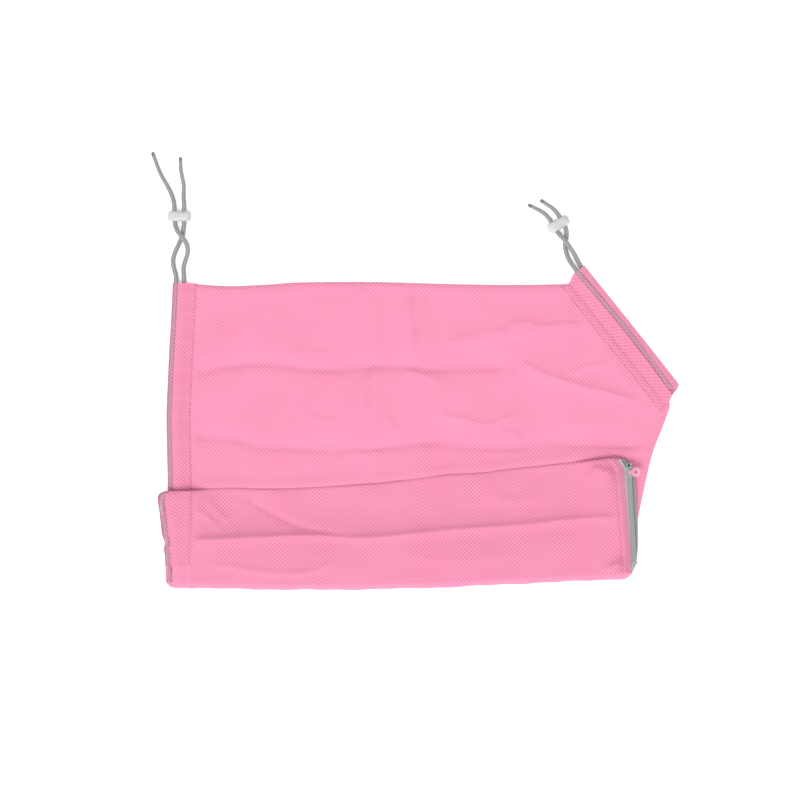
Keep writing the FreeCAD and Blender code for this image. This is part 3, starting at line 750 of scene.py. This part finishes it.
def make_casing_bend():
    """Cover that carries the tail casing round the belly fold, tucked under the casings at both ends."""
    offset = np.linspace(0, 1, 26)[None] ** 1.4 * (HEM + 0.2) + 0.2
    over = np.array(EDGE_SKIN[:8][::-1])
    top = np.interp(offset, over[:, 0], over[:, 1]) + FLAP_RISE - 0.12
    low = 0.35 + 0 * offset
    tuck, flat, turn = 3.0, np.linspace(0, 1, 7), np.linspace(-math.pi / 2, math.pi / 2, 19)
    x0 = tail_x(-146)
    axis = fold_axis(x0 + offset) + 1.4
    start = BEND_Y + tuck
    corner = np.sqrt(1 - (1 - np.clip(offset / 9, 0, 1)) ** 2)
    rows = [(start + (axis - start) * t, low) for t in flat]
    rows += [(axis - (BEND_R + 1.6) * math.cos(a) * corner, low + (top - low) * (1 + math.sin(a)) / 2)
             for a in turn[1:-1]]
    rows += [(start + (axis - start) * t, top) for t in flat[::-1]]
    xyz = np.concatenate([np.dstack([x0 + offset, y, z]) for y, z in rows], axis=0)
    run = arc_length(xyz[:, 12])
    stretch = ease((offset - 0.6) / 1.6) * ease((8.4 - offset) / 2.5) * ease((xyz[..., 1] + 151) / 4)
    weave = np.dstack([offset + 0 * xyz[..., 0], run[:, None] + 0 * xyz[..., 0], stretch])
    piece = dress_net(grid_object("tail_hem_bend", xyz, weave), replaces=["casing_fold_bend"])
    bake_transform(piece)


def neck_point(s, offset, z):
    plan = NECK + NECK_DOWN * s + NECK_IN * offset
    return (plan[0], plan[1], z)


def make_neck_band():
    s = np.linspace(0, NECK_LENGTH, 72)
    bulge = 0.3 * np.sin(math.pi * s / NECK_LENGTH)
    edge = NECK + NECK_DOWN * s[:, None] - NECK_IN * bulge[:, None]

    def mouth(offset):
        """How far the mouth is cut back towards its inner corner."""
        return 4.4 * ease((offset - 12) / 11)

    def low_end(offset):
        """How far the inner corner of the lower end reaches past the outer one."""
        return 6.0 * ease(offset / 24)

    for name, skin, over_cord, node in (
            ("neck_band_front_cloth", NECK_FRONT_SKIN, (18.2, 25.4), "neck_band_front"),
            ("neck_band_back_cloth", NECK_BACK_SKIN, NO_CORD, "neck_band_back")):
        xyz, weave = casing_grid(edge, skin, over_cord, 0.42, inward=-1.0, shut_end=4.0,
                                 slant=(mouth, low_end), drift=1.9)
        piece = dress_net(grid_object(name, xyz, weave), "bag", [node, "neck_band_end"])


# ---- stitching
STITCH_PITCH, STITCH_LENGTH, THREAD_R = 3.2, 2.1, 0.24


def stitches(name, line, body, radius=THREAD_R):
    """Row of short thread stitches that dip into the cloth at both ends."""
    way = resampled(line, STITCH_PITCH)
    direction = unit(np.gradient(way, axis=0))
    points, faces, sides, rings = [], [], 6, 5
    angles = np.linspace(0, TURN, sides, endpoint=False)
    for centre, ahead in zip(way, direction):
        across = np.cross((0, 0, 1.0), ahead)
        start = len(points)
        for u in np.linspace(-1, 1, rings):
            r = radius * math.sqrt(max(0.05, 1 - u ** 4))
            spine = centre + ahead * u * STITCH_LENGTH / 2 + np.array([0, 0, 0.18 - 0.3 * u * u])
            for a in angles:
                points.append(spine + across * r * math.cos(a) + np.array([0, 0, r * math.sin(a)]))
        faces += grid_faces(rings, sides, wrap=True, start=start)
        faces.append([start + k for k in range(sides)][::-1])
        faces.append([start + (rings - 1) * sides + k for k in range(sides)])
    return dress(mesh_object(name, points, faces), THREAD, body)


def height_over(thing, x, y):
    """Highest point of a piece over plan points, in millimetres."""
    inverse = thing.matrix_world.inverted()
    out = []
    for a, b in zip(np.atleast_1d(x), np.atleast_1d(y)):
        origin = inverse @ Vector((a * MM, b * MM, 0.05))
        hit, place, _, _ = thing.ray_cast(origin, Vector((0, 0, -1)))
        out.append(place.z / MM if hit else np.nan)
    out = np.array(out)
    good = ~np.isnan(out)
    return np.interp(np.arange(len(out)), np.flatnonzero(good), out[good])


def stitch_row(name, x, y, thing, body, **how):
    """Stitches laid along plan points on top of a piece."""
    bpy.context.view_layer.update()
    z = height_over(bpy.data.objects[thing], x, y)
    return stitches(name, np.stack([x, y, z + 0.12], axis=1), body, **how)


def make_stitching():
    y = np.linspace(136, BEND_Y + 4, 120)
    stitch_row("tail_hem_stitches", tail_x(y) + HEM - 0.7, y, "tail_hem_front", "bag", radius=0.19)
    y = np.linspace(-64, BEND_Y + 3, 34)
    stitch_row("flap_hem_stitches", flap_seam_x(y) - 0.7, y, "flap_hem_outer", "belly_flap", radius=0.19)
    s = np.linspace(3, NECK_LENGTH - 5, 70)
    for name, offset in (("neck_seam_stitches", NECK_SEAM), ("neck_edge_stitches", NECK_HEM - 0.8)):
        plan = NECK + NECK_DOWN * s[:, None] + NECK_IN * offset
        stitch_row(name, plan[:, 0], plan[:, 1], "neck_band_front_cloth", "bag")
    y = np.linspace(-44, -138, 50)
    stitch_row("zip_hem_stitches", upper_x(y) - 8.6, y, "flap_outer_cloth", "belly_flap")


# ---- cords
def route_line(points, step):
    """Points along a smooth route whose control points are given."""
    data = bpy.data.curves.new("route", "CURVE")
    data.dimensions = "3D"
    spline = data.splines.new("NURBS")
    spline.points.add(len(points) - 1)
    for slot, point in zip(spline.points, points):
        slot.co = (*[c * MM for c in point], 1.0)
    spline.order_u = 3
    spline.use_endpoint_u = True
    spline.resolution_u = 24
    holder = add_object("route", data)
    bpy.context.view_layer.update()
    mesh = bpy.data.meshes.new_from_object(holder)
    line = np.array([v.co for v in mesh.vertices], float) / MM
    bpy.data.objects.remove(holder)
    return resampled(line, step)


WALES, COURSE = 6, 2.6  # columns of knitted loops round the cord, and the length of one loop
SEAL, TAPER = 5.0, 0.2  # length of a cord end that is sealed with heat, and how much thinner it is


def cord_tube(name, points, sealed=False, step=0.9):
    """Knitted cord along a route, with a groove between its columns of loops."""
    sides = 30
    line = route_line(points, step)
    _, normal, binormal = frames_along(line)
    s = arc_length(line)
    angle = np.linspace(0, TURN, sides, endpoint=False)
    phase = WALES * angle[None] / 2 + 0.012 * s[:, None]
    groove = 1 - np.abs(np.sin(phase)) ** 0.7
    loops = np.cos(TURN * (s[:, None] / COURSE + 0.35 * np.abs(np.sin(phase))))
    radius = CORD_R * (1 - 0.13 * groove + 0.025 * loops)
    end = np.zeros(len(s))
    if sealed:
        radius = radius * (1 - TAPER * ease(s / s[-1]))[:, None]
        end = ease((s - s[-1] + SEAL) / 1.5)
        tip = np.sqrt(np.clip((s[-1] - s) / 1.2, 0, 1))
        squeezed = CORD_R * (1 - TAPER - 0.1 * np.clip((s - s[-1] + SEAL) / SEAL, 0, 1)) * tip
        radius = radius * (1 - end[:, None]) + squeezed[:, None] * end[:, None]
        groove = groove * (1 - end[:, None])
    ring = (line[:, None] + normal[:, None] * (radius * np.cos(angle))[..., None]
            + binormal[:, None] * (radius * np.sin(angle))[..., None])
    count = len(line)
    points3 = np.vstack([ring.reshape(-1, 3), line[0], line[-1]])
    faces = grid_faces(count, sides, wrap=True)
    first, last = count * sides, count * sides + 1
    for k in range(sides):
        after = (k + 1) % sides
        faces.append([first, after, k])
        faces.append([last, (count - 1) * sides + k, (count - 1) * sides + after])
    piece = mesh_object(name, points3, faces)
    # groove also marks where the cord's material paints shade between the wales
    for key, values, caps in (("groove", groove, [0.6, 0.6]),
                              ("sealed", end[:, None] + 0 * groove, [0.0, end[-1]])):
        layer = piece.data.attributes.new(key, "FLOAT", "POINT")
        layer.data.foreach_set("value", np.append(values.ravel(), caps).astype(np.float32))
    return piece, line


LOW = 2.45  # centre of a cord that lies on the floor
MID, GAP = 4.8, 4.65  # a stopper's middle height, and half its hole spacing
NECK_BEAD = np.array([134.05, 195.2])  # the neck stopper, and its own two ways
BEAD_SIDE, BEAD_AHEAD = np.array([0.866, 0.5]), np.array([-0.5, 0.866])


def on_neck_bead(side, ahead, z=MID):
    plan = NECK_BEAD + BEAD_SIDE * side + BEAD_AHEAD * ahead
    return (plan[0], plan[1], z)


FREE_CORDS = {
    "tail_cord_loop_left": [
        (-233.4, 139.0, 3.75), (-233.3, 146.0, 3.75), (-236.0, 153.2, LOW), (-236.9, 161.4, LOW),
        (-234.4, 169.2, LOW), (-231.0, 176.0, LOW), (-227.8, 183.4, LOW), (-225.6, 192.6, MID),
        (-225.6, 203.0, MID)],
    "tail_cord_loop_right": [
        (-226.0, 138.9, 3.35), (-225.9, 145.9, 3.35), (-226.7, 153.2, LOW), (-224.6, 160.6, 2.9),
        (-221.9, 167.8, 5.0), (-222.4, 175.2, 7.1), (-226.3, 181.6, 7.8), (-231.2, 187.2, 7.3),
        (-234.9, 194.4, MID), (-234.9, 203.0, MID)],
    "tail_cord_end_left": [
        (-234.9, 203.0, MID), (-234.9, 213.2, MID), (-237.2, 222.6, 3.0), (-241.9, 232.4, LOW),
        (-248.0, 242.4, LOW), (-252.4, 253.2, LOW), (-256.6, 265.2, LOW)],
    "tail_cord_end_right": [
        (-225.6, 203.0, MID), (-225.6, 213.2, MID), (-226.6, 223.0, 3.0), (-226.0, 232.8, LOW),
        (-228.2, 242.4, LOW), (-229.6, 251.6, LOW), (-229.4, 260.4, LOW)],
    "neck_cord_loop_left": [
        neck_point(0.5, 9.1, 6.35), neck_point(-6, 9.1, 6.35), (143.8, 161.4, 4.0), (141.2, 169.6, LOW),
        (140.4, 177.6, LOW), (142.3, 184.4, 3.1), on_neck_bead(GAP, -7.2), on_neck_bead(GAP, 0)],
    "neck_cord_loop_right": [
        neck_point(0.5, 3.5, 3.15), neck_point(-6, 2.4, 3.15), (149.2, 167.0, 4.4), (143.6, 174.6, 7.2),
        (138.9, 181.4, 7.6), on_neck_bead(-GAP, -8.2), on_neck_bead(-GAP, 0)],
    "neck_cord_end_left": [
        on_neck_bead(-GAP, 0), on_neck_bead(-GAP, 9.2), (119.6, 206.6, 3.2), (112.4, 210.6, LOW),
        (104.6, 214.4, LOW)],
    "neck_cord_end_right": [
        on_neck_bead(GAP, 0), on_neck_bead(GAP, 8.8), (129.0, 210.6, 3.4), (122.6, 214.8, LOW),
        (116.4, 219.0, LOW)],
}


def make_free_cords():
    """Each strand is a loop up to its stopper and an end beyond it, so that the stopper can slide."""
    for name, points in FREE_CORDS.items():
        ends = "_end_" in name
        piece, line = cord_tube(name + "_strand", points, sealed=ends)
        dress(piece, CORD, replaces=[name])
        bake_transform(piece)


def hem_route(function, high, low, offset, z, step=24.0):
    """Control points of a cord that lies in a casing."""
    y = np.linspace(high, low, max(3, int(abs(high - low) / step)))
    return [(float(function(t)) + offset, float(t), z) for t in y]


def held_cord(name, route, step, node, body=None):
    piece, _ = cord_tube(name, route, step=step)
    return dress(piece, HELD_CORD, body, [node])


def make_held_cords():
    """The cord inside the casings, round the belly fold, and round the turn at the flap's corner."""
    for name, offset, z, other, rise, deep in (("front", 4.0, 3.75, 11.4, 3.35, 7.8),
                                               ("back", 11.4, 3.35, 4.0, 3.75, 13.8)):
        route = hem_route(tail_x, 139.0, BEND_Y, offset, z)
        held_cord(f"tail_cord_{name}_length", route, 1.4, f"tail_cord_{name}_run", "bag")
        foot, head = float(tail_x(BEND_Y)) + offset, float(flap_x(BEND_Y)) + other
        points = [(foot, BEND_Y, z), (foot, BEND_Y - deep, z), (head, BEND_Y - deep, rise + FLAP_RISE),
                  (head, BEND_Y, rise + FLAP_RISE)]
        piece = held_cord(f"tail_cord_{name}_turn", points, 0.8, f"tail_cord_{name}_bend")
        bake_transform(piece)
    inner, outer = 3.35 + FLAP_RISE, 3.75 + FLAP_RISE
    up = hem_route(flap_x, BEND_Y, -86.0, 11.4, inner, 16.0)
    down = hem_route(flap_x, -82.0, BEND_Y, 4.0, outer, 16.0)
    x = float(flap_x(-70))
    turn = [(x + 13.6, -76.0, inner), (x + 13.8, -68.4, inner), (x + 10.4, -63.6, inner + 0.1),
            (x + 6.2, -64.2, outer - 0.1), (x + 3.9, -70.0, outer)]
    held_cord("tail_cord_flap_length", up + turn + down, 1.2, "tail_cord_flap_run", "belly_flap")
    ways = [(0.5, 9.1, 6.35), (16, 8.9, 6.6), (36, 7.6, 6.5), (60, 6.8, 6.4), (84, 6.6, 6.3),
            (108, 6.7, 6.3), (126, 7.4, 6.4), (138, 8.6, 6.5), (143.5, 8.6, 6.2), (145.0, 5.6, 4.6),
            (143.5, 4.2, 3.2), *((s, 3.4, 2.9) for s in (138, 116, 90, 62, 36, 14)), (0.5, 3.5, 3.15)]
    held_cord("neck_cord_band_length", [neck_point(*way) for way in ways], 1.2, "neck_cord_band_run", "bag")


# ---- zip
def zip_point(along, across, z):
    plan = ZIP_TOP + ZIP_DOWN * along + ZIP_RIGHT * across
    return (plan[0], plan[1], z)


def make_zip():
    y = np.linspace(-30.5, -141, 70)
    chain = ZIP_TOP[0] + (ZIP_TOP[1] - y) * math.tan(ZIP_ANGLE) - 6.0 * ease((y + 42) / 12)
    limit = lower_x(y) - 0.8
    for name, material, outer, inner, heights, node in (
            ("zip_tape_left", TAPE_UPPER, np.minimum(upper_x(y) - 8.5, chain - 2),
             np.minimum(chain - 0.7, limit),
             [11.2, 11.2, 11.2, 11.2, 11.15, 11.15, 11.1, 11.1, 11.2], "zip_tape_upper"),
            ("zip_tape_right", TAPE_LOWER, np.minimum(chain + 0.7, limit), lower_x(y) + 0.3,
             [11.2, 11.1, 11.1, 11.0, 10.8, 10.4, 9.9, 9.4, 9.0], "zip_tape_lower")):
        t = np.linspace(0, 1, 33)[None]
        x = outer[:, None] * (1 - t) + inner[:, None] * t
        z = np.interp(t, np.linspace(0, 1, len(heights)), heights) + 0 * x
        level = y[:, None] + 0 * x
        # the third channel marks where the tape's material paints a line of shade beside the coil
        weave = np.dstack([x - outer[:, None], level, hump(x - chain[:, None] - 2.9, 0.6)])
        piece = grid_object(name, np.dstack([x, level, z]), weave, flip=True)
        dress(piece, material, "belly_flap", [node])
    for side, name in ((-1, "upper"), (1, "lower")):
        make_coil(side, name)


def make_coil(side, name):
    """Nylon coil: one loop per tooth, which reaches past the middle to its neighbour."""
    turns = int((COIL_LAST - COIL_FIRST) / COIL_PITCH)
    angle = np.linspace(0, TURN * turns, turns * 14)
    along = COIL_FIRST + COIL_PITCH * angle / TURN + (0.5 * COIL_PITCH if side > 0 else 0)
    across = side * (1.05 - 1.35 * np.cos(angle))
    z = COIL_Z + 0.72 * np.sin(angle)
    line = np.array([zip_point(a, c, h) for a, c, h in zip(along, across, z)])
    _, normal, binormal = frames_along(line)
    around = np.linspace(0, TURN, 6, endpoint=False)
    ring = (line[:, None] + COIL_WIRE * (normal[:, None] * np.cos(around)[:, None]
                                         + binormal[:, None] * np.sin(around)[:, None]))
    piece = mesh_object(f"zip_coil_{name}_loops", ring.reshape(-1, 3), grid_faces(len(line), 6, wrap=True))
    dress(piece, COIL, "belly_flap", [f"zip_coil_{name}"])


def dress_cad_nodes():
    """Materials of the CAD nodes that stay in sight."""
    for node, material, slot in (
            ("tail_cord_stopper", STOPPER, "stopper_plastic"),
            ("neck_cord_stopper", STOPPER, "stopper_plastic"),
            ("zip_top_stops", SLIDER, "zip_coil"), ("zip_bottom_stop", SLIDER, "zip_coil"),
            ("zip_slider", SLIDER, "zip_metal"), ("zip_pull", PULL, "pull_plastic")):
        dress(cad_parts[node], material)


# ---- studio
SKY, SUN, SUN_SPREAD, SUN_RAY = 0.90, 2.25, 0.7, Vector((0.36, 1.0, -1.75))
LENS, LOOK_AT, VIEW_WIDTH = 120, (-0.0182, 0.0264), 0.768  # width of the floor in view, metres
FLOOR_HALF = 9000


def make_studio():
    corners = [(FLOOR_HALF * a, FLOOR_HALF * b, 0) for a, b in ((-1, -1), (1, -1), (1, 1), (-1, 1))]
    floor = mesh_object("floor", corners, [(0, 1, 2, 3)])
    floor.data.materials.append(floor_material())
    scene = bpy.context.scene
    scene.world = bpy.data.worlds.new("studio")
    scene.world.use_nodes = True
    sky = scene.world.node_tree.nodes["Background"].inputs
    sky["Color"].default_value = rgba(1, 1, 1)
    sky["Strength"].default_value = SKY
    data = bpy.data.lights.new("key", "SUN")
    data.energy, data.angle = SUN, SUN_SPREAD
    key = add_object("key", data)
    key.rotation_euler = SUN_RAY.to_track_quat("-Z", "Y").to_euler()
    scene.cycles.transparent_max_bounces = 32
    scene.view_settings.view_transform = "Standard"

    data = bpy.data.cameras.new("camera")
    data.lens = LENS
    camera = add_object("camera", data)
    camera.location = (*LOOK_AT, 0.008 + VIEW_WIDTH * LENS / data.sensor_width)
    scene.camera = camera


make_studio()
make_free_cords()
make_held_cords()
make_front_cloth()
make_back_cloth()
make_flap_cloth()
make_fold_bends()
make_seam_allowances()
make_tail_casings()
make_casing_bend()
make_neck_band()
make_stitching()
make_zip()
dress_cad_nodes()
